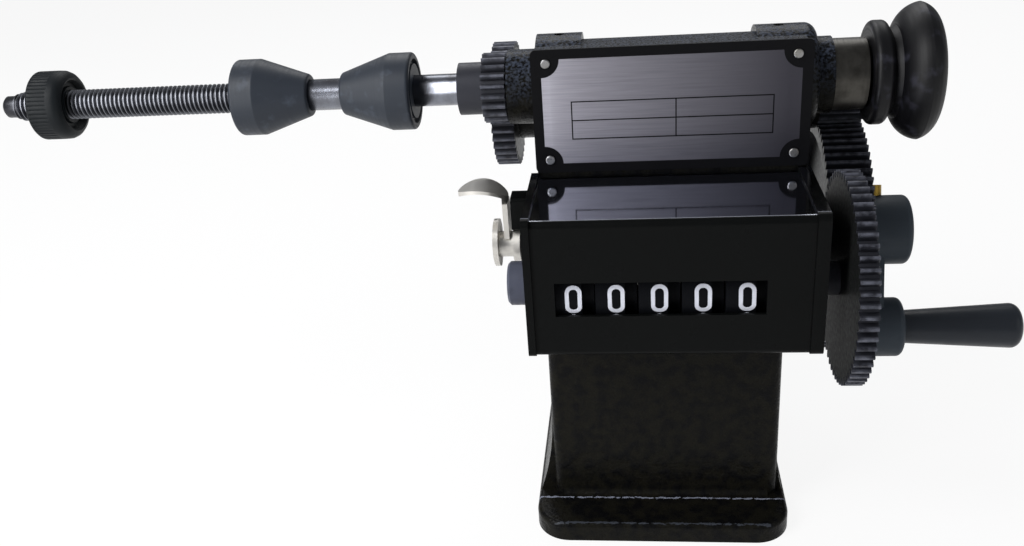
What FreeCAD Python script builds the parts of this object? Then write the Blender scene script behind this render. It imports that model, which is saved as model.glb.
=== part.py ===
import FreeCAD, Part
import math
import os
import re
import Sketcher

# Hand-cranked coil winding machine with a five-figure turns counter.
# Frame: X along the spindle (crank side +X), Y to the back, Z up, origin on the foot's
# underside, below the spindle axis and midway between the two spindle bearings.
# A crank gear drives a layshaft pinion, and the layshaft's gear drives the spindle pinion,
# four times two to one. The crank gear also turns the counter's gear.

Vector = FreeCAD.Vector
doc = FreeCAD.newDocument("coil_winder")
sizes = doc.addObject("Spreadsheet::Sheet", "sizes")

DIMENSIONS = (
    # gear train
    ("gear_module", 1.0), ("backlash", 0.16), ("tip_relief", 0.06),
    ("spindle_teeth", 20), ("layshaft_teeth", 40), ("drive_teeth", 20),
    ("crank_teeth", 80), ("counter_teeth", 60),
    ("layshaft_angle", -25.7), ("crank_angle", -92.0), ("counter_angle", 167.6),
    ("spindle_height", 137.0), ("running_gap", 0.05), ("end_gap", 0.6), ("seat_gap", 0.3),
    # foot, column and head of the casting
    ("foot_spread_left", 5.6), ("foot_spread_right", 2.8), ("foot_depth", 105.0),
    ("foot_thick", 6.5), ("foot_corner", 11.0), ("foot_round", 1.6), ("foot_fillet", 2.0),
    ("flare_left", 36.0), ("flare_right", 24.0), ("flare_start", 2.5), ("flare_inset", 0.8),
    ("column_width", 72.9), ("column_shift", -2.6), ("column_front", 36.0),
    ("column_rear", 38.0), ("column_edge", 2.0), ("casting_wall", 6.0), ("plate_face", 21.2),
    ("head_width", 80.0), ("head_drop", 26.0), ("head_rise", 14.1), ("head_slope_start", 0.5),
    ("head_slope_end", 6.0), ("head_rear", 2.0), ("head_edge", 1.6), ("cheek", 14.0),
    ("housing_left_radius", 16.0), ("housing_right_radius", 15.9), ("housing_round", 3.4),
    ("housing_right_end", 44.0), ("bearing_left", 49.4), ("bearing_right", 49.4),
    ("spindle_boss_right", 48.7), ("spindle_boss_radius", 11.6),
    ("spindle_boss_left_radius", 11.6), ("layshaft_boss_radius", 12.0),
    ("crank_boss_radius", 13.0), ("crank_boss_start", 18.0), ("foot_hole_radius", 3.5),
    ("foot_hole_spacing", 56.0), ("foot_hole_back", 45.5), ("oil_hole_radius", 1.5),
    ("oil_hole_place", 33.0),
    # bushes
    ("bush_wall", 3.0), ("bush_collar_radius", 10.8), ("bush_collar_end", 59.2),
    ("bush_chamfer", 0.6),
    # shafts
    ("spindle_radius", 5.0), ("thread_radius", 4.8), ("tip_radius", 3.6), ("tip_length", 4.8),
    ("spindle_left", 219.8), ("thread_end", 125.0), ("spindle_right", 74.0),
    ("layshaft_radius", 5.0), ("layshaft_stub", 3.0), ("crank_shaft_radius", 6.0),
    ("shaft_chamfer", 0.8), ("shaft_collar_width", 6.0), ("shaft_collar_radius", 10.0),
    ("shaft_collar_gap", 0.4), ("shaft_stub", 1.0),
    # gears
    ("left_face_width", 7.4), ("right_face_width", 14.0), ("pinion_hub_radius", 8.2),
    ("pinion_hub_length", 7.8), ("web_thick", 5.0), ("rim_thick", 5.0), ("gear_hub_radius", 11.0),
    ("counter_face_start", 46.8), ("counter_face_width", 5.2), ("counter_hub_radius", 5.0),
    # clamping nut and cones on the spindle
    ("nut_left", 207.8), ("nut_length", 12.2), ("nut_radius", 11.3), ("nut_round", 1.8),
    ("nut_recess_radius", 7.6), ("nut_recess", 2.0), ("nut_recess_flare", 0.6),
    ("cone_length", 23.6), ("cone_barrel", 7.7), ("cone_big_radius", 12.2),
    ("cone_small_wall", 1.6), ("cone_round", 1.0), ("cone_groove_radius", 8.6),
    ("cone_groove_width", 1.6), ("cone_groove_depth", 1.2),
    ("cone_left_start", 137.8), ("cone_right_start", 103.4),
    # hand wheel with belt groove
    ("wheel_flange_radius", 15.6), ("wheel_flange_width", 4.4), ("wheel_flange_round", 1.6),
    ("wheel_groove_radius", 12.9), ("wheel_groove_width", 3.4), ("wheel_neck_radius", 14.0),
    ("wheel_neck_bend", 8.5), ("wheel_knob_radius", 20.5), ("wheel_rim_place", 6.9),
    ("wheel_rim_bend", 6.6), ("wheel_knob_width", 11.8), ("wheel_face_radius", 14.6),
    ("wheel_gap", 0.4),
    # crank
    ("crank_radius", 34.3), ("crank_tilt", -20.0), ("crank_hub_start", 64.5),
    ("crank_hub_end", 83.0), ("crank_hub_radius", 12.1), ("arm_start", 67.0), ("arm_end", 74.0),
    ("arm_top_width", 17.0), ("arm_low_width", 13.0), ("arm_boss_end", 81.0),
    ("arm_boss_radius", 10.4), ("arm_round", 2.0), ("crank_screw_place", 71.5), ("crank_screw_radius", 3.0),
    ("crank_screw_shank", 2.2), ("crank_screw_head", 3.6), ("pin_radius", 4.0), ("pin_length", 30.0),
    ("grip_length", 39.7), ("grip_small_radius", 5.8), ("grip_large_radius", 8.0),
    ("grip_round", 3.2),
    # turns counter
    ("counter_left", 42.0), ("counter_right", 41.0), ("side_thick", 2.2),
    ("right_side_thick", 3.6), ("shell_wall", 1.2), ("shell_edge", 2.0),
    ("counter_height", 42.0), ("side_lip", 0.8),
    ("number_wheel_radius", 14.4), ("number_wheel_gap", 0.6), ("number_wheel_width", 11.7),
    ("number_wheel_pitch", 12.1), ("number_wheel_middle", -4.3), ("number_wheel_dish", 1.0),
    ("number_band_width", 8.2), ("number_step_radius", 11.6), ("number_hub_wall", 2.4),
    ("number_rim_wall", 1.8),
    ("counter_shaft_radius", 3.0), ("window_width", 58.6), ("window_low", -3.1),
    ("window_high", 7.4), ("shaft_cap_radius", 6.6), ("shaft_cap_length", 5.8),
    ("shaft_cap_gap", 0.6), ("shaft_cap_end", 1.6),
    # reset key
    ("reset_inset", 4.32), ("reset_rise", 5.1), ("reset_shaft_radius", 2.5),
    ("reset_collar_radius", 5.4), ("reset_collar_width", 2.2), ("reset_hub_radius", 4.0),
    ("reset_hub_end", 54.2), ("reset_plate", 1.6), ("reset_disc_radius", 7.2),
    ("reset_disc_rise", 1.2), ("reset_tail", 7.3), ("reset_tail_bend", 9.0),
    ("reset_neck_width", 7.0), ("reset_neck_start", 50.8), ("reset_tab_reach", 64.4),
    ("reset_tab_end", 49.0), ("reset_tab_width", 11.4), ("reset_tab_thick", 1.5),
    ("reset_tab_high", 18.1), ("reset_tab_rise", 16.3), ("reset_tab_bend", 13.0),
    ("reset_pad", 3.6), ("reset_pad_radius", 5.4), ("reset_gap", 0.4),
    ("bracket_reach", 6.2), ("bracket_width", 8.0), ("bracket_low", 5.8),
    ("bracket_high", 16.4), ("bracket_round", 1.2),
    # name plate and screws
    ("plate_width", 80.6), ("plate_height", 37.5), ("plate_thick", 0.8), ("plate_drop", 2.3),
    ("plate_corner", 1.6), ("rivet_spacing_wide", 71.8), ("rivet_spacing_high", 29.4),
    ("rivet_radius", 1.0), ("rivet_head_radius", 1.4), ("rivet_head", 0.6), ("rivet_depth", 3.0),
    ("screw_radius", 2.0), ("screw_head_radius", 3.8), ("screw_head", 2.4),
    ("screw_spacing", 40.0), ("screw_drop", 8.0), ("screw_edge", 4.1), ("screw_reach", 1.2),
)
NAMES = re.compile(r"\b(" + "|".join(alias for alias, size in DIMENSIONS) + r")\b")

for row, (alias, size) in enumerate(DIMENSIONS, 1):
    sizes.set("A%d" % row, alias)
    sizes.set("B%d" % row, str(size))
    sizes.setAlias("B%d" % row, alias)
doc.recompute()


def bound(text):
    """The expression with each size's name pointing at its cell."""
    return NAMES.sub(r"sizes.\1", text)


def number(text):
    """The value of an expression now."""
    result = sizes.evalExpression(bound(text))
    return float(getattr(result, "Value", result))


# Shaft axes, worked out from the teeth so that every pair of gears meshes.
SPINDLE = ("0", "spindle_height")
LAY_REACH = "gear_module * (spindle_teeth + layshaft_teeth) / 2"
LAYSHAFT = (f"({LAY_REACH} * cos(layshaft_angle))",
            f"(spindle_height + {LAY_REACH} * sin(layshaft_angle))")
CRANK_REACH = "gear_module * (crank_teeth + drive_teeth) / 2"
CRANK = (f"({LAYSHAFT[0]} + {CRANK_REACH} * cos(crank_angle))",
         f"({LAYSHAFT[1]} + {CRANK_REACH} * sin(crank_angle))")
COUNTER_REACH = "gear_module * (crank_teeth + counter_teeth) / 2"
COUNTER = (f"({CRANK[0]} + {COUNTER_REACH} * cos(counter_angle))",
           f"({CRANK[1]} + {COUNTER_REACH} * sin(counter_angle))")
HANDLE = (f"({CRANK[0]} + crank_radius * sin(crank_tilt))",
          f"({CRANK[1]} - crank_radius * cos(crank_tilt))")
RESET = ("(-plate_face - reset_inset)", f"({COUNTER[1]} + reset_rise)")

# The counter's box: its wheels turn just behind its front and just above its floor.
BOX_FRONT = f"({COUNTER[0]} - number_wheel_radius - number_wheel_gap - shell_wall)"
BOX_FLOOR = f"({COUNTER[1]} - number_wheel_radius - number_wheel_gap - shell_wall)"
BOX_TOP = f"({BOX_FLOOR} + counter_height)"
PLATE_MIDDLE = "(spindle_height - plate_drop)"
HEAD_BASE = "(spindle_height - head_drop)"

# Places along X shared by the gears on each side.
GEAR_LEFT_END = "(-bearing_left - end_gap)"
GEAR_LEFT = f"({GEAR_LEFT_END} - left_face_width)"
GEAR_RIGHT = "(bearing_right + end_gap)"
GEAR_RIGHT_END = f"({GEAR_RIGHT} + right_face_width)"


# ---------------------------------------------------------------- helpers
def newBody(label, axis=("0", "0"), turn="0"):
    """A body whose X axis lies at the given Y and Z."""
    body = doc.addObject("PartDesign::Body", label)
    body.Label = label
    middle = Vector(0, number(axis[0]), number(axis[1]))
    body.Placement = FreeCAD.Placement(middle, FreeCAD.Rotation(Vector(1, 0, 0), number(turn)))
    body.setExpression("Placement.Base.y", bound(axis[0]))
    body.setExpression("Placement.Base.z", bound(axis[1]))
    if turn != "0":
        body.setExpression("Placement.Rotation.Angle", bound(turn))
    return body


def origin(body, role):
    return next(item for item in body.Origin.OriginFeatures if item.Role == role)


def newSketch(body, role, offset="0"):
    """A sketch on one of the body's own planes, or parallel to it."""
    sketch = body.newObject("Sketcher::SketchObject", body.Label + "_outline")
    sketch.AttachmentSupport = [(origin(body, role), "")]
    sketch.MapMode = "FlatFace"
    sketch.AttachmentOffset = FreeCAD.Placement(Vector(0, 0, number(offset)), FreeCAD.Rotation())
    sketch.setExpression("AttachmentOffset.Base.z", bound(offset))
    return sketch


def hold(sketch, kind, place, text):
    """A dimension from the sketch's origin, bound to its expression."""
    index = sketch.addConstraint(Sketcher.Constraint(kind, -1, 1, place[0], place[1], number(text)))
    sketch.setExpression("Constraints[%d]" % index, bound(text))


def isClockwise(corner):
    return len(corner) == 3 and number(corner[2]) < 0


def drawOutline(sketch, corners):
    """A closed outline. A corner is (x, y), or (x, y, radius) for an arc that ends there,
    counter-clockwise where the radius is positive."""
    first = sketch.GeometryCount
    points = [Vector(number(corner[0]), number(corner[1]), 0) for corner in corners]
    for step, corner in enumerate(corners):
        start, end = points[step - 1], points[step]
        edge = Part.LineSegment(start, end)
        if len(corner) == 3:
            radius = number(corner[2])
            chord = end - start
            across = Vector(-chord.y, chord.x, 0).normalize() * math.copysign(1, radius)
            depth = math.sqrt(radius ** 2 - (chord.Length / 2) ** 2)
            edge = Part.Arc(start, (start + end) * 0.5 - across * (abs(radius) - depth), end)
        sketch.addGeometry(edge, False)
    # a clockwise arc is stored with its ends the other way round
    for step, corner in enumerate(corners):
        here, following = first + step, first + (step + 1) % len(corners)
        place = (here, 1 if isClockwise(corner) else 2)
        nextPoint = 2 if isClockwise(corners[(step + 1) % len(corners)]) else 1
        sketch.addConstraint(Sketcher.Constraint("Coincident", *place, following, nextPoint))
        hold(sketch, "DistanceX", place, corner[0])
        hold(sketch, "DistanceY", place, corner[1])
        if len(corner) == 3:
            size = f"abs({corner[2]})"
            index = sketch.addConstraint(Sketcher.Constraint("Radius", here, number(size)))
            sketch.setExpression("Constraints[%d]" % index, bound(size))


def drawCircle(sketch, x, y, radius):
    middle = Vector(number(x), number(y), 0)
    index = sketch.addGeometry(Part.Circle(middle, Vector(0, 0, 1), number(radius)), False)
    hold(sketch, "DistanceX", (index, 3), x)
    hold(sketch, "DistanceY", (index, 3), y)
    rule = sketch.addConstraint(Sketcher.Constraint("Radius", index, number(radius)))
    sketch.setExpression("Constraints[%d]" % rule, bound(radius))


def rectangle(left, low, right, high):
    return ((left, low), (right, low), (right, high), (left, high))


def extrude(body, kind, role, low, high, outlines=(), circles=()):
    """A pad, or a pocket, that fills its outlines from low to high along its plane's axis."""
    facing = role == "XZ_Plane"
    cutting = kind == "PartDesign::Pocket"
    base = low if facing == cutting else high
    sketch = newSketch(body, role, f"-({base})" if facing else base)
    for corners in outlines:
        drawOutline(sketch, corners)
    for circle in circles:
        drawCircle(sketch, *circle)
    feature = body.newObject(kind, body.Label + "_" + kind[12:].lower())
    feature.Profile = sketch
    feature.Type = "Length"
    feature.Length = number(f"({high}) - ({low})")
    feature.setExpression("Length", bound(f"({high}) - ({low})"))


def pad(body, role, low, high, outlines=(), circles=()):
    extrude(body, "PartDesign::Pad", role, low, high, outlines, circles)


def pocket(body, role, low, high, outlines=(), circles=()):
    """Cuts, and checks that it has cut something."""
    doc.recompute()
    before = body.Shape.Volume
    extrude(body, "PartDesign::Pocket", role, low, high, outlines, circles)
    doc.recompute()
    if body.Shape.Volume > before - 0.01:
        raise RuntimeError(body.Label + " pocket cuts nothing")


def turned(label, axis, corners, turn="0"):
    """A body turned about X from an outline of (x, radius) corners."""
    body = newBody(label, axis, turn)
    sketch = newSketch(body, "XY_Plane")
    drawOutline(sketch, corners)
    feature = body.newObject("PartDesign::Revolution", body.Label + "_turned")
    feature.Profile = sketch
    feature.ReferenceAxis = (origin(body, "X_Axis"), [""])
    feature.Angle = 360
    return body


def finishEdges(body, kind, size, chooser):
    """Rounds or chamfers the edges of the body that the chooser picks."""
    doc.recompute()
    base = body.Tip
    names = ["Edge%d" % n for n, edge in enumerate(base.Shape.Edges, 1) if chooser(edge)]
    if not names:
        raise RuntimeError(body.Label + " has no such edge")
    feature = body.newObject(kind, body.Label + "_edges")
    feature.Base = (base, names)
    measure = "Radius" if kind == "PartDesign::Fillet" else "Size"
    setattr(feature, measure, number(size))
    feature.setExpression(measure, bound(size))


def fillet(body, size, chooser):
    finishEdges(body, "PartDesign::Fillet", size, chooser)


def chamfer(body, size, chooser):
    finishEdges(body, "PartDesign::Chamfer", size, chooser)


def along(edge, direction):
    """Whether an edge is straight and runs along X, Y or Z."""
    if not isinstance(edge.Curve, Part.Line):
        return False
    return abs(abs(getattr(edge.Curve.Direction, direction)) - 1) < 1e-6


def near(value, text):
    return abs(value - number(text)) < 0.01


# ---------------------------------------------------------------- toothed wheels
def gearOutline(teeth):
    """An involute outline of 20 degrees pressure angle, with a tooth centred on X."""
    module, backlash = number("gear_module"), number("backlash")
    pressure = math.radians(20)
    pitch = module * teeth / 2
    base = pitch * math.cos(pressure)
    root = pitch - 1.25 * module
    tip = pitch + module - number("tip_relief")
    halfTooth = math.pi / (2 * teeth) - backlash / (4 * pitch)
    start = max(base, root)
    radii = [start + (tip - start) * share for share in (0, 0.35, 0.7, 1)]
    flank = [] if base <= root else [(root, None)]
    corners = []
    for radius in radii:
        roll = math.acos(min(base / radius, 1))
        involute = math.tan(roll) - roll
        flank.append((radius, halfTooth + math.tan(pressure) - pressure - involute))
    flank = [(radius, flank[-4][1] if half is None else half) for radius, half in flank]
    for tooth in range(teeth):
        middle = 2 * math.pi * tooth / teeth
        side = [(radius, middle - half) for radius, half in flank]
        side += [(radius, middle + half) for radius, half in reversed(flank)]
        corners += [Vector(r * math.cos(a), r * math.sin(a), 0) for r, a in side]
    return Part.makePolygon(corners + corners[:1])


def disc(start, end, radius):
    return Part.makeCylinder(radius, end - start, Vector(0, 0, start))


def ring(start, end, outer, inner):
    return disc(start, end, outer).cut(disc(start, end, inner))


def newGear(label, teeth, axis, phase, start, end, bore, added=(), removed=()):
    """A toothed wheel between two places along X. Its outline is made by code, because its
    flanks are involutes."""
    blank = Part.Face(gearOutline(teeth)).extrude(Vector(0, 0, end - start))
    blank.translate(Vector(0, 0, start))
    for solid in added:
        blank = blank.fuse(solid)
    low = min([start] + [solid.BoundBox.ZMin for solid in added])
    high = max([end] + [solid.BoundBox.ZMax for solid in added])
    blank = blank.cut(disc(low, high, bore))
    for solid in removed:
        blank = blank.cut(solid)
    gear = doc.addObject("Part::Feature", label)
    gear.Label = label
    gear.Shape = blank.removeSplitter()
    lengthwise = FreeCAD.Rotation(Vector(1, 1, 1), 120)
    spin = FreeCAD.Rotation(Vector(1, 0, 0), phase)
    middle = Vector(0, number(axis[0]), number(axis[1]))
    gear.Placement = FreeCAD.Placement(middle, spin.multiply(lengthwise))


def bearing(here, there):
    """The direction, in degrees, from one shaft to another, seen along X."""
    return math.degrees(math.atan2(number(there[1]) - number(here[1]),
                                   number(there[0]) - number(here[0])))


def meshedPhase(here, hereTeeth, herePhase, there, thereTeeth):
    """The turn that puts a gear's gap where its mate has a tooth."""
    line = bearing(here, there)
    ahead = (line - herePhase) * hereTeeth / 360
    return line + 180 + (0.5 + ahead) * 360 / thereTeeth


# ---------------------------------------------------------------- casting
def makeColumn():
    """Foot and column, open at the back, with the counter's shelf at its front."""
    body = newBody("frame_casting")
    left = "(column_shift - column_width / 2)"
    right = "(column_shift + column_width / 2)"
    footLeft, footRight = f"({left} - foot_spread_left)", f"({right} + foot_spread_right)"
    pad(body, "XY_Plane", "0", "foot_thick",
        [rectangle(footLeft, "-foot_depth / 2", footRight, "foot_depth / 2")])
    fillet(body, "foot_corner", lambda edge: along(edge, "z"))
    fillet(body, "foot_round", lambda edge: near(edge.BoundBox.ZMin, "foot_thick"))
    pad(body, "YZ_Plane", left, right, [(
        ("-column_front", "foot_thick / 2"), ("column_rear", "foot_thick / 2"),
        ("column_rear", HEAD_BASE), ("-plate_face", HEAD_BASE),
        ("-plate_face", BOX_FLOOR), ("-column_front", BOX_FLOOR))])
    fillet(body, "casting_wall / 2", lambda edge: along(edge, "z")
           and near(edge.BoundBox.YMax, "-column_front"))
    fillet(body, "column_edge", lambda edge: along(edge, "z")
           and near(edge.BoundBox.YMin, "column_rear"))
    # its front runs into the foot in a hollow curve, and its sides sweep out to the foot
    pad(body, "YZ_Plane", f"{left} + casting_wall / 2", f"{right} - casting_wall / 2", [(
        ("-column_front - foot_fillet", "foot_thick / 2"),
        ("-column_front + casting_wall / 2", "foot_thick / 2"),
        ("-column_front + casting_wall / 2", "foot_thick + foot_fillet"),
        ("-column_front", "foot_thick + foot_fillet"),
        ("-column_front - foot_fillet", "foot_thick", "-foot_fillet"))])
    pad(body, "XZ_Plane", "-column_front + flare_start", "column_rear", [(
        (f"{footRight} - flare_inset", "foot_thick / 2"),
        (f"{footRight} - flare_inset", "foot_thick"),
        (right, "flare_right", "-3 * (flare_right - foot_thick)"),
        (left, "flare_left"),
        (f"{footLeft} + flare_inset", "foot_thick", "-3 * (flare_left - foot_thick)"),
        (f"{footLeft} + flare_inset", "foot_thick / 2"))])
    back, top = "(column_rear + 2)", f"({HEAD_BASE} + 1)"
    shelf = f"({BOX_FLOOR} - casting_wall)"
    pocket(body, "YZ_Plane", f"{left} + casting_wall", f"{right} - casting_wall", [(
        ("-column_front + casting_wall", "foot_thick"), (back, "foot_thick"),
        (back, top), ("-plate_face + casting_wall", top),
        ("-plate_face + casting_wall", shelf), ("-column_front + casting_wall", shelf))])
    pad(body, "YZ_Plane", "crank_boss_start", "bearing_right",
        circles=[(*CRANK, "crank_boss_radius")])
    pocket(body, "YZ_Plane", "crank_boss_start", "bearing_right",
           circles=[(*CRANK, "crank_shaft_radius + bush_wall")])
    # bolt holes behind the column, and the counter's screw holes
    pocket(body, "XY_Plane", "0", "foot_thick", circles=[
        (f"({footLeft} + {footRight}) / 2 {side} foot_hole_spacing / 2", "foot_hole_back",
         "foot_hole_radius")
        for side in "-+"])
    pocket(body, "XZ_Plane", "-plate_face", "-plate_face + casting_wall",
           circles=screwPlaces("screw_radius"))


def makeHead():
    """The head that carries the spindle and the layshaft between two cheeks."""
    body = newBody("frame_head")
    half, top = "head_width / 2", "(spindle_height + head_rise)"
    rear = f"({LAYSHAFT[0]} + layshaft_boss_radius)"
    pad(body, "YZ_Plane", f"-{half}", half, [(
        ("-plate_face", HEAD_BASE), (rear, HEAD_BASE), (rear, f"{LAYSHAFT[1]} + head_rear"),
        (f"{LAYSHAFT[0]} + head_slope_end", f"{LAYSHAFT[1]} + layshaft_boss_radius - 1"),
        ("head_slope_start", top), ("-plate_face", top))])
    fillet(body, "head_edge", lambda edge: along(edge, "x")
           and near(edge.BoundBox.ZMax, top) and near(edge.BoundBox.YMax, "-plate_face"))
    room = f"({half} - cheek)"
    pocket(body, "YZ_Plane", f"-{room}", room, [rectangle(
        "-plate_face + casting_wall", f"{HEAD_BASE} - 1", f"{rear} + 1", f"{top} - casting_wall")])
    # bearing housings with rounded ends, and bosses
    for low, high, radius in ((f"-{half}", f"-{room}", "housing_left_radius"),
                              (room, "housing_right_end", "housing_right_radius")):
        pad(body, "YZ_Plane", low, high, circles=[(*SPINDLE, radius)])
    fillet(body, "housing_round", lambda edge: near(edge.BoundBox.XMin, "housing_right_end")
           and near(edge.BoundBox.XMax, "housing_right_end"))
    for low, high, middle, radius in (
            ("-bearing_left", f"-{room}", SPINDLE, "spindle_boss_left_radius"),
            (room, "spindle_boss_right", SPINDLE, "spindle_boss_radius"),
            ("-bearing_left", f"-{room}", LAYSHAFT, "layshaft_boss_radius"),
            (room, "bearing_right", LAYSHAFT, "layshaft_boss_radius")):
        pad(body, "YZ_Plane", low, high, circles=[(*middle, radius)])
    for high, middle, radius in (("spindle_boss_right", SPINDLE, "spindle_radius"),
                                 ("bearing_right", LAYSHAFT, "layshaft_radius")):
        pocket(body, "YZ_Plane", "-bearing_left", high,
               circles=[(*middle, f"{radius} + bush_wall")])
    # oil holes and rivet holes
    for side, radius in (("-", "housing_left_radius"), ("", "housing_right_radius")):
        pocket(body, "XY_Plane", "spindle_height", f"spindle_height + {radius} + 1",
               circles=[(f"{side}oil_hole_place", "0", "oil_hole_radius")])
    pocket(body, "XZ_Plane", "-plate_face", "-plate_face + rivet_depth", circles=rivetPlaces())


def rivetPlaces(radius="rivet_radius"):
    return [(f"{across} * rivet_spacing_wide / 2",
             f"{PLATE_MIDDLE} + {rise} * rivet_spacing_high / 2", radius)
            for across in (-1, 1) for rise in (-1, 1)]


def screwPlaces(radius):
    height = f"min({BOX_TOP} - screw_drop; {HEAD_BASE} - screw_edge)"
    return [(f"{across} * screw_spacing / 2", height, radius) for across in (-1, 1)]


def makeBushes():
    for label, axis, shaft, low, high in (
            ("spindle_bush_left", SPINDLE, "spindle_radius",
             "-bearing_left", "-head_width / 2 + cheek"),
            ("layshaft_bush_left", LAYSHAFT, "layshaft_radius",
             "-bearing_left", "-head_width / 2 + cheek"),
            ("layshaft_bush_right", LAYSHAFT, "layshaft_radius",
             "head_width / 2 - cheek", "bearing_right"),
            ("crank_bush", CRANK, "crank_shaft_radius", "crank_boss_start", "bearing_right")):
        turned(label, axis, rectangle(low, f"{shaft} + running_gap", high, f"{shaft} + bush_wall"))
    # the spindle's right bush ends in a wide steel collar
    bore, outside = "spindle_radius + running_gap", "spindle_radius + bush_wall"
    right = turned("spindle_bush_right", SPINDLE, (
        ("head_width / 2 - cheek", bore), ("bush_collar_end", bore),
        ("bush_collar_end", "bush_collar_radius"), ("spindle_boss_right", "bush_collar_radius"),
        ("spindle_boss_right", outside), ("head_width / 2 - cheek", outside)))
    chamfer(right, "bush_chamfer", lambda edge: edge.Closed
            and near(edge.BoundBox.XMin, "bush_collar_end")
            and near(edge.BoundBox.YMax, "bush_collar_radius"))


def makePlate():
    body = newBody("name_plate")
    half, low = "plate_width / 2", f"{PLATE_MIDDLE} - plate_height / 2"
    pad(body, "XZ_Plane", "-plate_face - plate_thick", "-plate_face",
        [rectangle(f"-{half}", low, half, f"{low} + plate_height")])
    fillet(body, "plate_corner", lambda edge: along(edge, "y"))
    pocket(body, "XZ_Plane", "-plate_face - plate_thick", "-plate_face", circles=rivetPlaces())


def makeHeadedPins(label, places, face, reach, radius, headRadius, headHeight, inwards):
    """Rivets or screws along Y as one node: each shank starts under its head, on a face."""
    solids = []
    for x, z, unused in places:
        start = Vector(number(x), number(face), number(z))
        shank = Part.makeCylinder(number(radius), number(reach), start, inwards)
        head = Part.makeCylinder(number(headRadius), number(headHeight), start, inwards * -1)
        far = start - inwards * number(headHeight)
        rims = [edge for edge in head.Edges if edge.Closed
                and edge.CenterOfMass.distanceToPoint(far) < 0.01]
        head = head.makeFillet(number(headHeight) * 0.6, rims)
        solids.append(shank.fuse(head).removeSplitter())
    group = doc.addObject("Part::Feature", label)
    group.Label = label
    group.Shape = Part.makeCompound(solids)


# ---------------------------------------------------------------- spindle
def makeSpindle():
    turned("spindle_shaft", SPINDLE, (
        ("-spindle_left", "0"), ("-spindle_left", "tip_radius - shaft_chamfer"),
        ("-spindle_left + shaft_chamfer", "tip_radius"),
        ("-spindle_left + tip_length", "tip_radius"),
        ("-spindle_left + tip_length", "thread_radius - shaft_chamfer"),
        ("-spindle_left + tip_length + shaft_chamfer", "thread_radius"),
        ("-thread_end", "thread_radius"), ("-thread_end", "spindle_radius"),
        ("spindle_right", "spindle_radius"), ("spindle_right", "0")))
    hub = f"({GEAR_LEFT} - pinion_hub_length)"
    start = number(GEAR_LEFT)
    newGear("spindle_pinion", int(number("spindle_teeth")), SPINDLE, SPINDLE_PHASE,
            start, number(GEAR_LEFT_END), number("spindle_radius"),
            [disc(number(hub), start, number("pinion_hub_radius"))])
    # clamping nut, dished on the side that faces the work
    right = "(-nut_left + nut_length)"
    nut = turned("clamp_nut", SPINDLE, (
        ("-nut_left", "thread_radius + running_gap"), (right + " - nut_recess",
                                                       "thread_radius + running_gap"),
        (right + " - nut_recess", "nut_recess_radius"), (right, "nut_recess_radius + nut_recess_flare"),
        (right, "nut_radius"), ("-nut_left", "nut_radius")))
    fillet(nut, "nut_round", lambda edge: edge.Closed and near(edge.BoundBox.YMax, "nut_radius"))
    makeCone("cone_left", "-cone_left_start", "")
    makeCone("cone_right", "-cone_right_start + cone_length", "-")
    makeHandWheel()


def makeCone(label, big, way):
    """A centring cone. Its wide end is at big, and the rest lies towards way X."""
    bore = "(spindle_radius + running_gap)"
    reach = "-" if way else "+"
    groove, small = "cone_groove_radius", "(spindle_radius + cone_small_wall)"
    cone = turned(label, SPINDLE, (
        (big, bore), (big, groove),
        (f"{big} {reach} cone_groove_depth", groove),
        (f"{big} {reach} cone_groove_depth", f"{groove} + cone_groove_width"),
        (big, f"{groove} + cone_groove_width"), (big, "cone_big_radius"),
        (f"{big} {reach} cone_barrel", "cone_big_radius"),
        (f"{big} {reach} cone_length", small),
        (f"{big} {reach} cone_length", bore)))
    fillet(cone, "cone_round", lambda edge: edge.Closed and (
        near(edge.BoundBox.YMax, "cone_big_radius")
        or near(edge.BoundBox.YMax, small)))


def makeHandWheel():
    """A belt pulley and a mushroom hand knob in one turning."""
    start = "(bush_collar_end + wheel_gap)"
    flange = f"({start} + wheel_flange_width)"
    groove = f"({flange} + wheel_groove_width)"
    end = f"({groove} + wheel_knob_width)"
    wheel = turned("hand_wheel", SPINDLE, (
        (start, "spindle_radius"), (start, "wheel_flange_radius"),
        (flange, "wheel_flange_radius"),
        (f"{flange} + wheel_groove_width / 2", "wheel_groove_radius"),
        (groove, "wheel_neck_radius"),
        (f"{groove} + wheel_rim_place", "wheel_knob_radius", "-wheel_neck_bend"),
        (end, "wheel_face_radius", "-wheel_rim_bend"), (end, "0"),
        ("spindle_right", "0"), ("spindle_right", "spindle_radius")))
    fillet(wheel, "wheel_flange_round", lambda edge: edge.Closed
           and near(edge.BoundBox.YMax, "wheel_flange_radius"))


# ---------------------------------------------------------------- layshaft and crank
def shaft(label, axis, low, high, radius):
    turned(label, axis, (
        (low, "0"), (low, f"{radius} - shaft_chamfer"), (f"{low} + shaft_chamfer", radius),
        (f"{high} - shaft_chamfer", radius), (high, f"{radius} - shaft_chamfer"), (high, "0")))


def makeLayshaft():
    shaft("layshaft", LAYSHAFT, f"{GEAR_LEFT} - layshaft_stub",
          f"{GEAR_RIGHT_END} + shaft_stub", "layshaft_radius")
    newGear("layshaft_gear", int(number("layshaft_teeth")), LAYSHAFT, LAYSHAFT_PHASE,
            number(GEAR_LEFT), number(GEAR_LEFT_END), number("layshaft_radius"))
    newGear("layshaft_pinion", int(number("drive_teeth")), LAYSHAFT, DRIVE_PHASE,
            number(GEAR_RIGHT), number(GEAR_RIGHT_END), number("layshaft_radius"))


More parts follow.
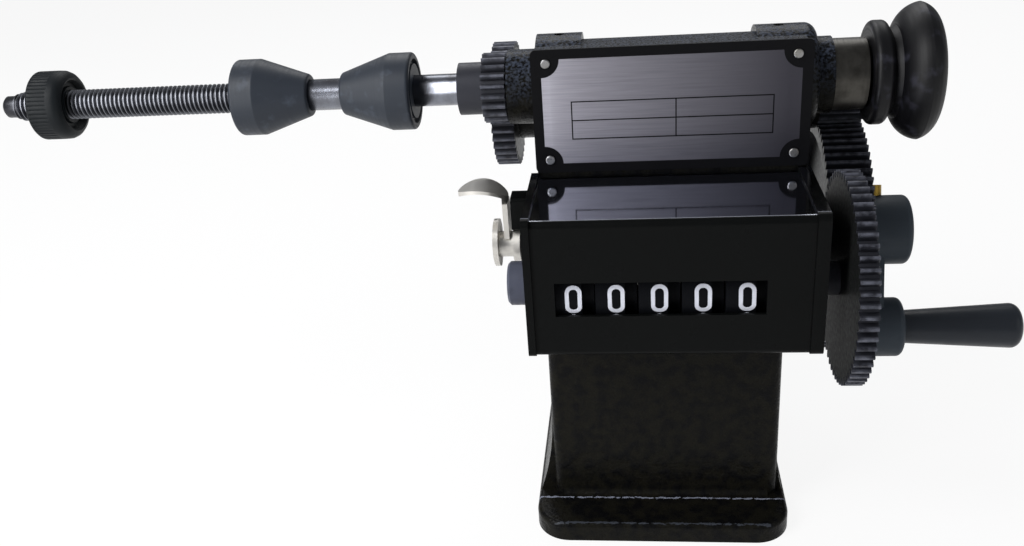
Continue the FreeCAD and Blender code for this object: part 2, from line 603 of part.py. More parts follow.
def makeCrank():
    collar = "(crank_boss_start - shaft_collar_gap - shaft_collar_width)"
    shaft("crank_shaft", CRANK, f"{collar} - shaft_stub", "crank_hub_end - shaft_stub",
          "crank_shaft_radius")
    turned("crank_shaft_collar", CRANK, rectangle(
        collar, "crank_shaft_radius", f"{collar} + shaft_collar_width", "shaft_collar_radius"))
    start, end = number(GEAR_RIGHT), number(GEAR_RIGHT_END)
    pitch = number("gear_module * crank_teeth / 2")
    hub, rim = number("gear_hub_radius"), pitch - number("rim_thick")
    depth = (end - start - number("web_thick")) / 2
    newGear("crank_gear", int(number("crank_teeth")), CRANK, CRANK_PHASE, start, end,
            number("crank_shaft_radius"),
            removed=[ring(start, start + depth, rim, hub), ring(end - depth, end, rim, hub)])
    arm = newBody("crank_arm", CRANK, "crank_tilt")
    low = "-crank_radius"
    pad(arm, "YZ_Plane", "crank_hub_start", "crank_hub_end",
        circles=[("0", "0", "crank_hub_radius")])
    pad(arm, "YZ_Plane", "arm_start", "arm_end", [(
        ("-arm_top_width / 2", "0"), ("-arm_low_width / 2", low), ("arm_low_width / 2", low),
        ("arm_top_width / 2", "0"))])
    pad(arm, "YZ_Plane", "arm_start", "arm_boss_end", circles=[("0", low, "arm_boss_radius")])
    fillet(arm, "arm_round", lambda edge: edge.Closed and (
        near(edge.BoundBox.XMin, "arm_boss_end") or near(edge.BoundBox.XMin, "crank_hub_end")))
    pocket(arm, "YZ_Plane", "crank_hub_start", "crank_hub_end",
           circles=[("0", "0", "crank_shaft_radius")])
    pocket(arm, "YZ_Plane", "arm_start", "arm_boss_end", circles=[("0", low, "pin_radius")])
    pocket(arm, "XY_Plane", "crank_shaft_radius - 1", "crank_hub_radius + 1",
           circles=[("crank_screw_place", "0", "crank_screw_shank")])
    screw = newBody("crank_screw", CRANK, "crank_tilt")
    pad(screw, "XY_Plane", "crank_shaft_radius", "crank_hub_radius",
        circles=[("crank_screw_place", "0", "crank_screw_shank")])
    pad(screw, "XY_Plane", "crank_hub_radius", "crank_hub_radius + crank_screw_head",
        circles=[("crank_screw_place", "0", "crank_screw_radius")])
    shaft("handle_pin", HANDLE, "arm_start", "arm_boss_end + pin_length", "pin_radius")
    start, end = "(arm_boss_end + seat_gap)", "(arm_boss_end + grip_length)"
    grip = turned("handle_grip", HANDLE, (
        (start, "pin_radius + running_gap"),
        (f"{start} + pin_length", "pin_radius + running_gap"), (f"{start} + pin_length", "0"),
        (end, "0"), (end, "grip_large_radius"), (start, "grip_small_radius")))
    fillet(grip, "grip_round", lambda edge: edge.Closed
           and near(edge.BoundBox.YMax, "grip_large_radius"))


# ---------------------------------------------------------------- turns counter
def makeCounter():
    left, right = "(-counter_left + side_thick)", "(counter_right - right_side_thick)"
    shell = newBody("counter_shell")
    pad(shell, "YZ_Plane", left, right,
        [rectangle(BOX_FRONT, BOX_FLOOR, "-plate_face", BOX_TOP)])
    fillet(shell, "shell_edge", lambda edge: along(edge, "x")
           and near(edge.BoundBox.YMax, BOX_FRONT))
    pocket(shell, "YZ_Plane", left, right, [rectangle(
        f"{BOX_FRONT} + shell_wall", f"{BOX_FLOOR} + shell_wall",
        "-plate_face - shell_wall", f"{BOX_TOP} - shell_wall")])
    pocket(shell, "XZ_Plane", BOX_FRONT, f"{BOX_FRONT} + shell_wall", [rectangle(
        "number_wheel_middle - window_width / 2", f"{COUNTER[1]} + window_low",
        "number_wheel_middle + window_width / 2", f"{COUNTER[1]} + window_high")])
    pocket(shell, "XZ_Plane", "-plate_face - shell_wall", "-plate_face",
           circles=screwPlaces("screw_radius"))
    for label, low, high in (("counter_side_left", "-counter_left", left),
                             ("counter_side_right", right, "counter_right")):
        side = newBody(label)
        pad(side, "YZ_Plane", low, high, [rectangle(
            f"{BOX_FRONT} - side_lip", BOX_FLOOR, "-plate_face", f"{BOX_TOP} + side_lip")])
        fillet(side, "shell_edge", lambda edge: along(edge, "x")
               and near(edge.BoundBox.YMax, f"{BOX_FRONT} - side_lip"))
        outer = low
        if label == "counter_side_left":
            outer = "-counter_left - reset_pad"
            pad(side, "YZ_Plane", outer, low, circles=[(*RESET, "reset_pad_radius")])
            addBracket(side)
        pocket(side, "YZ_Plane", low, high,
               circles=[(*COUNTER, "counter_shaft_radius + running_gap")])
        pocket(side, "YZ_Plane", outer, high,
               circles=[(*RESET, "reset_shaft_radius + running_gap")])
    for index in range(5):
        makeNumberWheel(index)
    capRight = "(-counter_left - shaft_cap_gap)"
    capLeft = f"({capRight} - shaft_cap_length)"
    seat = f"({capLeft} + shaft_cap_end)"
    shaft("counter_shaft", COUNTER, seat,
          "counter_face_start + counter_face_width + shaft_stub", "counter_shaft_radius")
    turned("counter_shaft_cap", COUNTER, (
        (capLeft, "0"), (capLeft, "shaft_cap_radius - shaft_chamfer"),
        (f"{capLeft} + shaft_chamfer", "shaft_cap_radius"), (capRight, "shaft_cap_radius"),
        (capRight, "counter_shaft_radius"), (seat, "counter_shaft_radius"), (seat, "0")))
    start = number("counter_face_start")
    newGear("counter_gear", int(number("counter_teeth")), COUNTER, COUNTER_PHASE,
            start, number("counter_face_start + counter_face_width"),
            number("counter_shaft_radius"),
            [disc(number("counter_right + seat_gap"), start, number("counter_hub_radius"))])


def addBracket(side):
    """The block on the box's left side, beside the reset key's neck."""
    outer = "-counter_left - bracket_reach"
    pad(side, "YZ_Plane", outer, "-counter_left", [rectangle(
        f"{RESET[0]} - bracket_width / 2", f"{RESET[1]} + bracket_low",
        f"{RESET[0]} + bracket_width / 2", f"{RESET[1]} + bracket_high")])
    fillet(side, "bracket_round", lambda edge: along(edge, "x")
           and near(edge.BoundBox.XMin, outer))


def makeNumberWheel(index):
    """One figure wheel, the units' at the right: a band for the figures, a narrower rim beside
    it, and a dish in both faces."""
    middle = f"(number_wheel_middle + {2 - index} * number_wheel_pitch)"
    low, high = f"({middle} - number_wheel_width / 2)", f"({middle} + number_wheel_width / 2)"
    bore, hub = "(counter_shaft_radius + running_gap)", "(counter_shaft_radius + number_hub_wall)"
    rim = "(number_step_radius - number_rim_wall)"
    band = f"({low} + number_band_width)"
    turned("number_wheel_%d" % (index + 1), COUNTER, (
        (low, bore), (low, hub), (f"{low} + number_wheel_dish", hub),
        (f"{low} + number_wheel_dish", rim), (low, rim), (low, "number_wheel_radius"),
        (band, "number_wheel_radius"), (band, "number_step_radius"),
        (high, "number_step_radius"), (high, rim), (f"{high} - number_wheel_dish", rim),
        (f"{high} - number_wheel_dish", hub), (high, hub), (high, bore)))


def makeResetKey():
    seat = "(-reset_hub_end + reset_plate)"
    shaft("reset_shaft", RESET, seat, "counter_right - seat_gap", "reset_shaft_radius")
    face = "(-counter_left - reset_pad - reset_gap)"
    key = turned("reset_key", RESET, (
        ("-reset_hub_end", "0"), ("-reset_hub_end", "reset_hub_radius"),
        (f"{face} - reset_collar_width", "reset_hub_radius"),
        (f"{face} - reset_collar_width", "reset_collar_radius"),
        (face, "reset_collar_radius"), (face, "reset_shaft_radius"),
        (seat, "reset_shaft_radius"), (seat, "0")))
    neck = "(-reset_neck_start)"
    pad(key, "YZ_Plane", neck, f"{neck} + reset_plate", [rectangle(
        "-reset_neck_width / 2", "reset_hub_radius - 1", "reset_neck_width / 2",
        "reset_tab_rise + seat_gap / 3")])
    # the thumb tab on top of the neck is an arched oval
    tip, end, under = "(-reset_tab_reach)", "(-reset_tab_end)", "reset_tab_thick"
    pad(key, "XZ_Plane", "-reset_tab_width / 2", "reset_tab_width / 2", [(
        (tip, f"reset_tab_high - {under}"),
        (end, f"reset_tab_rise - {under}", f"-(reset_tab_bend - {under})"),
        (end, "reset_tab_rise"), (tip, "reset_tab_high", "reset_tab_bend"))])
    pocket(key, "XY_Plane", f"reset_tab_rise - 1.2 * {under}", "reset_tab_high + 2 * reset_plate", [
        rectangle(f"{tip} - 1", "-reset_tab_width", f"{end} + 1", "reset_tab_width"),
        oval(f"({tip} + {end}) / 2", "0", "(reset_tab_reach - reset_tab_end)",
             "reset_tab_width")])
    # the disc at the key's end runs out into a tail
    pad(key, "YZ_Plane", "-reset_hub_end", seat, [(
        ("reset_disc_radius", "reset_disc_rise", "reset_tail_bend"),
        ("-reset_disc_radius", "reset_disc_rise", "reset_disc_radius + 0.01"),
        ("0", "-reset_tail", "reset_tail_bend"))])


def oval(x, y, length, width):
    """A smooth oval about a point, of four arcs, long along the sketch's first axis."""
    end = f"({width} * 0.36)"
    reach = f"({length} / 2 - {end})"
    side = f"(({reach}^2 + {width}^2 / 4 - {end}^2) / ({width} - 2 * {end}))"
    share = f"({end} / ({side} - {end}))"
    across = f"({reach} * (1 + {share}))"
    rise = f"({share} * ({side} - {width} / 2))"
    return ((f"{x} + {across}", f"{y} - {rise}", side), (f"{x} + {across}", f"{y} + {rise}", end),
            (f"{x} - {across}", f"{y} + {rise}", side), (f"{x} - {across}", f"{y} - {rise}", end))


# Turn of each gear at rest: the crank gear's tooth points at the layshaft.
CRANK_PHASE = bearing(CRANK, LAYSHAFT)
DRIVE_PHASE = meshedPhase(CRANK, number("crank_teeth"), CRANK_PHASE,
                          LAYSHAFT, number("drive_teeth"))
COUNTER_PHASE = meshedPhase(CRANK, number("crank_teeth"), CRANK_PHASE,
                            COUNTER, number("counter_teeth"))
LAYSHAFT_PHASE = bearing(LAYSHAFT, SPINDLE)
SPINDLE_PHASE = meshedPhase(LAYSHAFT, number("layshaft_teeth"), LAYSHAFT_PHASE,
                            SPINDLE, number("spindle_teeth"))

makeColumn()
makeHead()
makeBushes()
makePlate()
makeSpindle()
makeLayshaft()
makeCrank()
makeCounter()
makeResetKey()
BACKWARD = Vector(0, 1, 0)
makeHeadedPins("plate_rivets", rivetPlaces(), "-plate_face - plate_thick",
               "rivet_depth + plate_thick", "rivet_radius", "rivet_head_radius", "rivet_head",
               BACKWARD)
makeHeadedPins("counter_screws", screwPlaces("screw_radius"), "-plate_face + casting_wall",
               "casting_wall + shell_wall + screw_reach", "screw_radius", "screw_head_radius",
               "screw_head", BACKWARD * -1)
doc.recompute()

NODE_TYPES = ("PartDesign::Body", "Part::Feature")
nodes = [item for item in doc.Objects if item.TypeId in NODE_TYPES]
for item in doc.Objects:
    if "Invalid" in item.State or "Error" in item.State:
        raise RuntimeError("failed: " + item.Label + " " + str(item.State))
for item in nodes:
    if item.Shape.isNull() or not item.Shape.isValid():
        raise RuntimeError("bad shape: " + item.Label)

os.makedirs("parts", exist_ok=True)
for item in nodes:
    item.Shape.exportStep("parts/" + item.Label + ".step")
print(len(nodes), "nodes written")
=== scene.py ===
import math

import bmesh
import bpy
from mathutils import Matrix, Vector


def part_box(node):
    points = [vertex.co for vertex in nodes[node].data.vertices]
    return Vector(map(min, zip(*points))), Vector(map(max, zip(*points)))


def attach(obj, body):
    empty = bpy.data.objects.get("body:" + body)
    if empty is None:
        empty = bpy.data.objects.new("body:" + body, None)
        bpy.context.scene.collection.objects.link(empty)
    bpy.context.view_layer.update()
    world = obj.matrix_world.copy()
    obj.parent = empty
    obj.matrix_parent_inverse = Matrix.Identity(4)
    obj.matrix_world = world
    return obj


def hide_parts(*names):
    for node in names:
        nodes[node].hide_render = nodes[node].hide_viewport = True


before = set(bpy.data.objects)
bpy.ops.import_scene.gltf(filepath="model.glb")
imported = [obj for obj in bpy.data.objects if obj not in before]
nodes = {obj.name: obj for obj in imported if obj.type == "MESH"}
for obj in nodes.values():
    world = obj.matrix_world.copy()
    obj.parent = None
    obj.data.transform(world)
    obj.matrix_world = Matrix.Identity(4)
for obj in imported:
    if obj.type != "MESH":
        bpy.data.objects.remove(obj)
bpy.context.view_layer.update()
print("frame loaded:", len(nodes), "nodes")

mm = 0.001
mergeReach = 0.004 * mm  # corners closer together than this are one
finerGrain = 0.55  # how strongly the finer part of a grain shows
usualGrain = (0.3, 0.7)  # most of a grain's values lie between these


# helpers for materials

def toLinear(hexColour):
    # sRGB hex to the linear colour that the shaders take
    parts = [int(hexColour[i:i + 2], 16) / 255 for i in (1, 3, 5)]
    linear = [c / 12.92 if c <= 0.04045 else ((c + 0.055) / 1.055) ** 2.4 for c in parts]
    return (*linear, 1.0)


def inMetres(lengths):
    return [length * mm for length in lengths]


def addNode(material, kind, inputs={}, **settings):
    # one node with its settings; an input that is given a socket gets a link
    node = material.node_tree.nodes.new(kind)
    for name, value in settings.items():
        setattr(node, name, value)
    for name, value in inputs.items():
        if isinstance(value, bpy.types.NodeSocket):
            material.node_tree.links.new(value, node.inputs[name])
        else:
            node.inputs[name].default_value = value
    return node


def startMaterial(name, hexColour, roughness, metallic=0.0, **sockets):
    # a Principled shader with plain values, and the object's coordinates to build on
    material = bpy.data.materials.new(name)
    material.use_nodes = True
    shader = material.node_tree.nodes["Principled BSDF"]
    shader.inputs["Base Color"].default_value = toLinear(hexColour)
    shader.inputs["Roughness"].default_value = roughness
    shader.inputs["Metallic"].default_value = metallic
    for socket, value in sockets.items():
        shader.inputs[socket].default_value = value
    place = addNode(material, "ShaderNodeTexCoord").outputs["Object"]
    return material, shader, place


def grain(material, place, size, detail=4.0, stretch=(1, 1, 1)):
    # noise whose lumps are about size millimetres across
    scaled = addNode(material, "ShaderNodeMapping", {"Vector": place, "Scale": stretch})
    return addNode(material, "ShaderNodeTexNoise", {
        "Vector": scaled.outputs[0], "Scale": 1 / mm / size, "Detail": detail,
        "Roughness": finerGrain}).outputs["Fac"]


def remap(material, value, fromRange, toRange=(0.0, 1.0)):
    return addNode(material, "ShaderNodeMapRange", {
        "Value": value, "From Min": fromRange[0], "From Max": fromRange[1],
        "To Min": toRange[0], "To Max": toRange[1]}).outputs[0]


def times(material, first, second):
    return addNode(material, "ShaderNodeMath", {0: first, 1: second},
                   operation="MULTIPLY").outputs[0]


def onAxis(material, place, axis):
    # one coordinate of a place: "X", "Y" or "Z"
    return addNode(material, "ShaderNodeSeparateXYZ", {0: place}).outputs[axis]


def blend(material, factor, first, second):
    # two colours, each a hex value or a socket
    picked = [c if isinstance(c, bpy.types.NodeSocket) else toLinear(c) for c in (first, second)]
    return addNode(material, "ShaderNodeMix", {0: factor, 6: picked[0], 7: picked[1]},
                   data_type="RGBA").outputs[2]


def feed(material, socket, shader, name):
    material.node_tree.links.new(socket, shader.inputs[name])


def varyGloss(material, shader, pattern, v):
    # a grain that makes the surface a little smoother here and rougher there
    ends = (v["roughness"] - v["smoother"], v["roughness"] + v["rougher"])
    feed(material, remap(material, pattern, usualGrain, ends), shader, "Roughness")


def emboss(material, shader, height, depth, strength=1.0, under=None):
    # bump: a height of 0 to 1 stands for depth millimetres
    inputs = {"Height": height, "Distance": depth * mm, "Strength": strength}
    if under is not None:
        inputs["Normal"] = under
    node = addNode(material, "ShaderNodeBump", inputs)
    feed(material, node.outputs[0], shader, "Normal")
    return node.outputs[0]


def axisReach(material, place, centre):
    # distance from a shaft along X through centre (y, z), in metres
    shifted = addNode(material, "ShaderNodeVectorMath", {0: place, 1: (0, centre[0], centre[1])},
                      operation="SUBTRACT").outputs[0]
    flat = addNode(material, "ShaderNodeVectorMath", {0: shifted, 1: (0, 1, 1)},
                   operation="MULTIPLY").outputs[0]
    return addNode(material, "ShaderNodeVectorMath", {0: flat},
                   operation="LENGTH").outputs["Value"]


def turningLines(material, place, centre, pitch):
    # fine rings that a lathe leaves, on faces and round the outside alike
    reach = axisReach(material, place, centre)
    both = addNode(material, "ShaderNodeCombineXYZ", {0: onAxis(material, place, "X"), 1: reach})
    return grain(material, both.outputs[0], pitch, detail=2)


def facingPart(material, axis):
    # how far a face looks along an axis, from -1 to 1
    normal = addNode(material, "ShaderNodeTexCoord").outputs["Normal"]
    return onAxis(material, normal, axis)


def dress(names, material):
    for name in names:
        slots = nodes[name].data.materials
        slots.clear()
        slots.append(material)


def centreOf(name):
    # the middle of a node seen along X, as (y, z)
    low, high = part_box(name)
    return tuple(((low + high) / 2)[1:])


# finishes; sizes and depths are in millimetres, pairs are the ends of a range

castingFinish = {
    "colour": "#0a0a0b", "dust": "#14130f", "ior": 1.16, "roughness": 0.3,
    "lumps": 4.0, "lumpDepth": 0.5, "grit": 0.9, "gritDepth": 0.16, "bump": 0.7,
    "glossyLumps": (0.42, 0.62), "gritGloss": (0.35, 0.7), "gloss": (0.2, 0.44),
    "paintedSheen": "#3d4350", "paintedSheenSlopes": (-0.3, 0.8), "paintedSheenGrit": (0.42, 0.66),
    "paintedSheenHeights": (118, 123),
    # painted highlight lines on the foot, broken into worn-looking chips
    "wearAndHighlight": {-51.3: "#33363c", -38.4: "#787c8a"},  # place along Y, colour
    "lineWidth": 0.55, "lineAbove": (5.4, 5.7), "lineGrain": 1.1, "lineGrainStretch": (0.6, 1, 1),
    "lineGrainEdges": (0.38, 0.62)}


def enamelOnSandCasting():
    # black enamel brushed over a sand casting: glossy on its lumps and dusty between them, with
    # a painted sheen (a blue-grey colour on the head, strongest on its upward faces), and
    # painted highlight lines, broken into worn-looking chips, along the foot's front edge and
    # one at the foot of the column
    v = castingFinish
    material, shader, place = startMaterial("enamelOnSandCasting", v["colour"], v["roughness"],
                                            IOR=v["ior"])
    lumps = grain(material, place, v["lumps"])
    grit = grain(material, place, v["grit"], detail=3)
    body = blend(material, remap(material, lumps, v["glossyLumps"]), v["dust"], v["colour"])
    height = onAxis(material, place, "Z")
    # painted sheen: a blue-grey colour on the head's upward faces, in place of the light they
    # catch from above
    paintedSheen = times(material, remap(material, facingPart(material, "Z"), v["paintedSheenSlopes"]),
                 remap(material, grit, v["paintedSheenGrit"]))
    paintedSheen = times(material, paintedSheen, remap(material, height, inMetres(v["paintedSheenHeights"])))
    body = blend(material, paintedSheen, body, v["paintedSheen"])
    # painted highlight lines along the foot's front edge and at the foot of the column, broken
    # into chips by a grain
    lineGrain = grain(material, place, v["lineGrain"], 3, v["lineGrainStretch"])
    reach = times(material, remap(material, lineGrain, v["lineGrainEdges"], (0.0, v["lineWidth"] * mm)),
                  remap(material, height, inMetres(v["lineAbove"])))
    for line, lineColour in v["wearAndHighlight"].items():
        wearAndHighlight = addNode(material, "ShaderNodeMath", {
            0: onAxis(material, place, "Y"), 1: line * mm, 2: reach},
            operation="COMPARE").outputs[0]
        body = blend(material, wearAndHighlight, body, lineColour)
    feed(material, body, shader, "Base Color")
    feed(material, remap(material, grit, v["gritGloss"], v["gloss"]), shader, "Roughness")
    coarse = emboss(material, shader, lumps, v["lumpDepth"], v["bump"])
    emboss(material, shader, grit, v["gritDepth"], v["bump"], coarse)
    return material


gearFinish = {
    "face": "#1b1c1c", "colour": "#26272d", "wearAndHighlight": "#5a5c66", "roughness": 0.42,
    "metallic": 0.35, "ior": 1.3, "brightBelowTip": (0.9, 0.1), "brightPatches": 2.6,
    "patchEdges": (0.34, 0.62), "faceEdges": (0.9, 0.98), "sheen": (0.34, 0.52),
    "sheenPatches": 1.3, "rings": 0.4, "ringDepth": 0.03, "bump": 0.4}
# lighter copies of the same blackened steel for some gears, painted lighter in place of light
# they lack; the layshaft pinion's faces are bare steel
gearTonesAndPaintedLight = {  # what differs from gearFinish
    "crank_gear": {}, "counter_gear": {},
    "spindle_pinion": {"face": "#2c2c2f", "colour": "#323339"},
    "layshaft_gear": {"face": "#2c2c2f", "colour": "#323339"},
    "layshaft_pinion": {"face": "#7c7a6c", "colour": "#34363b"}}


def blackenedGearSteel(node, tonesAndLight):
    # cut steel, chemically blackened: dark soft sheen, another shade on its turned faces, and
    # brighter on the tips of the teeth, partly wear and partly a painted highlight
    v = {**gearFinish, **tonesAndLight}
    low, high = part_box(node)
    centre, tip = centreOf(node), (high.z - low.z) / 2
    material, shader, place = startMaterial("blackenedSteel_" + node, v["colour"],
                                            v["roughness"], v["metallic"], IOR=v["ior"])
    # tips of the teeth: a brighter colour, partly wear and partly a painted highlight
    brightTips = remap(material, axisReach(material, place, centre),
                   [tip - below * mm for below in v["brightBelowTip"]])
    patches = remap(material, grain(material, place, v["brightPatches"]), v["patchEdges"])
    side = addNode(material, "ShaderNodeMath", {0: facingPart(material, "X")},
                   operation="ABSOLUTE").outputs[0]
    body = blend(material, remap(material, side, v["faceEdges"]), v["colour"], v["face"])
    feed(material, blend(material, times(material, brightTips, patches), body, v["wearAndHighlight"]), shader,
         "Base Color")
    feed(material, remap(material, grain(material, place, v["sheenPatches"]), usualGrain,
                         v["sheen"]), shader, "Roughness")
    emboss(material, shader, turningLines(material, place, centre, v["rings"]), v["ringDepth"],
           v["bump"])
    return material


turnedMetalMarks = {
    "stains": 7, "stainEdges": (0.45, 0.75), "smoother": 0.06, "rougher": 0.12,
    "ringDepth": 0.02, "bump": 0.6}
turnedMetals = {
    "turnedSteel": {"colour": "#a9a8a4", "tarnish": "#7d7a72", "roughness": 0.24, "rings": 0.3},
    "zincPlatedSteel": {"colour": "#9a9a9c", "tarnish": "#7d7a72", "roughness": 0.3,
                        "rings": 0.3},
    "brownedCollarSteel": {"colour": "#4d4b47", "tarnish": "#302e2b", "roughness": 0.36,
                           "rings": 0.6},
    "turnedBronze": {"colour": "#8f7445", "tarnish": "#5d4a2c", "roughness": 0.34, "rings": 0.4},
    "turnedBrass": {"colour": "#8d7434", "tarnish": "#5c4c24", "roughness": 0.34, "rings": 0.4}}


def turnedMetal(kind, centre, suffix=""):
    # turned and ground metal: bright, with rings round it and a little tarnish
    v = {**turnedMetalMarks, **turnedMetals[kind]}
    material, shader, place = startMaterial(kind + suffix, v["colour"], v["roughness"], 1.0)
    stains = remap(material, grain(material, place, v["stains"]), v["stainEdges"])
    feed(material, blend(material, stains, v["colour"], v["tarnish"]), shader, "Base Color")
    rings = turningLines(material, place, centre, v["rings"])
    varyGloss(material, shader, rings, v)
    emboss(material, shader, rings, v["ringDepth"], v["bump"])
    return material


rodValues = {
    "pitch": 1.5, "crest": 4.8, "root": 3.95, "threadStart": -215.0, "threadEnd": -125.0,
    "turnSteps": 40, "runOut": 1.4, "rootEnd": 0.22, "crestStart": 0.52, "crestEnd": 0.7,
    "tipRadius": 3.6, "tipBevel": 0.8, "tipSteps": 48, "collarRadius": 4.2, "collarWidth": 0.4,
    "plainRadius": 5.0, "plainBevel": 0.6, "plainSteps": 64,
    "rootToCrest": ("#3f4044", "#74767c"), "plain": ("#83868f", "#67686e"), "plainFrom": 0.5,
    "gloss": (0.4, 0.26), "stains": 6, "stainEdges": (0.4, 0.7), "rings": 0.3,
    "ringDepth": 0.02, "bump": 0.6}


def threadedSteel(centre):
    # oiled steel rod: bright where it is plain, grey on its thread, darker towards the thread's
    # roots and lighter at its crests
    v = rodValues
    material, shader, place = startMaterial("oiledThreadSteel", "#8f8d88", v["gloss"][1], 1.0)
    plain = remap(material, onAxis(material, place, "X"),
                  inMetres((v["threadEnd"], v["threadEnd"] + v["plainFrom"])))
    # thread: darker towards its roots, lighter at its crests
    flanks = remap(material, axisReach(material, place, centre),
                   inMetres((v["root"], v["crest"])))
    rootToCrest = blend(material, flanks, *v["rootToCrest"])
    stains = remap(material, grain(material, place, v["stains"]), v["stainEdges"])
    bright = blend(material, stains, *v["plain"])
    feed(material, blend(material, plain, rootToCrest, bright), shader, "Base Color")
    feed(material, remap(material, plain, (0, 1), v["gloss"]), shader, "Roughness")
    emboss(material, shader, turningLines(material, place, centre, v["rings"]), v["ringDepth"],
           v["bump"])
    return material


boxFinish = {
    "front": "#0a0b0b", "top": "#d3d7e4", "roughness": 0.3, "ior": 1.15,
    "gloss": (0.26, 0.4), "smears": 12, "smearEdges": (0.35, 0.75), "mirrorRoughness": 0.07,
    "topSlopes": (0.93, 0.995), "belowTop": (1.6, 0.4), "behindFront": (1.5, 2.1),
    "peel": 1.8, "peelDepth": 0.008, "bump": 0.4}


def glossEnamelOnSheet():
    # gloss black stoving enamel on steel sheet: the upright faces have faint orange peel, and
    # the flat of the top is a pale smooth metal, a painted reflection in place of the glare that
    # gloss black shows at a grazing angle
    v = boxFinish
    material, shader, place = startMaterial("glossEnamelOnSheet", v["front"], v["roughness"],
                                            IOR=v["ior"])
    low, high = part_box("counter_shell")
    flat = times(material, remap(material, facingPart(material, "Z"), v["topSlopes"]),
                 remap(material, onAxis(material, place, "Z"),
                       [high.z - below * mm for below in v["belowTop"]]))
    flat = times(material, flat, remap(material, onAxis(material, place, "Y"),
                                       [low.y + behind * mm for behind in v["behindFront"]]))
    # the flat of the top: painted reflection, a pale metal in place of the black enamel
    feed(material, blend(material, flat, v["front"], v["top"]), shader, "Base Color")
    feed(material, flat, shader, "Metallic")
    smears = remap(material, grain(material, place, v["smears"]), v["smearEdges"], v["gloss"])
    mirrorSmooth = remap(material, flat, (0, 1), (1.0, 2 * v["mirrorRoughness"] / sum(v["gloss"])))
    feed(material, times(material, smears, mirrorSmooth), shader, "Roughness")
    emboss(material, shader, grain(material, place, v["peel"], detail=1), v["peelDepth"],
           v["bump"])
    return material


enamelMarks = {"dust": 9, "dustEdges": (0.35, 0.75), "rougher": 0.16, "peel": 1.6, "bump": 0.6}
enamels = {
    "printedBlackOnAluminium": {"colour": "#0c0c0e", "roughness": 0.3, "ior": 1.15,
                                "peelDepth": 0.01},
    "satinBlueGreyEnamel": {"colour": "#363d44", "roughness": 0.42, "ior": 1.25,
                            "peelDepth": 0.06}}


def smoothEnamel(kind):
    # sprayed or printed enamel: nearly smooth, with faint orange peel and settled dust
    v = {**enamelMarks, **enamels[kind]}
    material, shader, place = startMaterial(kind, v["colour"], v["roughness"], IOR=v["ior"])
    feed(material, remap(material, grain(material, place, v["dust"]), v["dustEdges"],
                         (v["roughness"], v["roughness"] + v["rougher"])), shader, "Roughness")
    emboss(material, shader, grain(material, place, v["peel"], detail=1), v["peelDepth"],
           v["bump"])
    return material


turnedPlasticMarks = {
    "scuffs": 5, "scuffEdges": (0.56, 0.72), "smoother": 0.05, "rougher": 0.08,
    "ringDepth": 0.05, "bump": 0.5}
turnedPlastics = {
    "turnedPhenolic": {"colour": "#08080b", "scuff": "#24242c", "roughness": 0.46,
                       "rings": 0.8, "ior": 1.3},
    "turnedBlackNylon": {"colour": "#262b33", "scuff": "#363c46", "roughness": 0.46,
                         "rings": 0.7, "ior": 1.35},
    "turnedGreyPlastic": {"colour": "#474a57", "scuff": "#3c3f4b", "roughness": 0.38,
                          "rings": 0.9, "ior": 1.25}}


def turnedPlastic(kind, centre):
    # plastic turned on a lathe: matte, with fine rings and scuffs
    v = {**turnedPlasticMarks, **turnedPlastics[kind]}
    material, shader, place = startMaterial(kind, v["colour"], v["roughness"], IOR=v["ior"])
    scuffs = remap(material, grain(material, place, v["scuffs"], detail=6), v["scuffEdges"])
    feed(material, blend(material, scuffs, v["colour"], v["scuff"]), shader, "Base Color")
    rings = turningLines(material, place, centre, v["rings"])
    varyGloss(material, shader, rings, v)
    emboss(material, shader, rings, v["ringDepth"], v["bump"])
    return material


mouldedMarks = {
    "patches": 6, "smoother": 0.06, "rougher": 0.08, "grit": 0.5, "gritDepth": 0.05,
    "bump": 0.6}
mouldedPlastics = {
    "mouldedNutPlastic": {"colour": "#0f1316", "roughness": 0.5, "ior": 1.25},
    "mouldedGripPlastic": {"colour": "#272b31", "roughness": 0.36, "ior": 1.3},
    "mouldedWheelPlastic": {"colour": "#0c0d10", "roughness": 0.42, "ior": 1.12},
    "paintedWhiteFigures": {"colour": "#c6c8d2", "roughness": 0.5, "ior": 1.4, "grit": 0.6,
                            "gritDepth": 0.02}}


def mouldedPlastic(kind):
    # moulded plastic, bare or painted: an even fine grain from the mould
    v = {**mouldedMarks, **mouldedPlastics[kind]}
    material, shader, place = startMaterial(kind, v["colour"], v["roughness"], IOR=v["ior"])
    varyGloss(material, shader, grain(material, place, v["patches"]), v)
    emboss(material, shader, grain(material, place, v["grit"], detail=2), v["gritDepth"],
           v["bump"])
    return material


aluminiumFinish = {
    "streakColours": ("#a19fa9", "#b8b6c0"), "paintedShade": "#3d3c43", "paintedShadeAlong": (-35, 34),
    "paintedShadeCurve": 0.5, "streaks": 0.5, "streakStretch": (0.03, 1, 1), "streakDepth": 0.012,
    "roughness": 0.4, "gloss": (0.36, 0.46), "metallic": 0.85, "bump": 0.4}


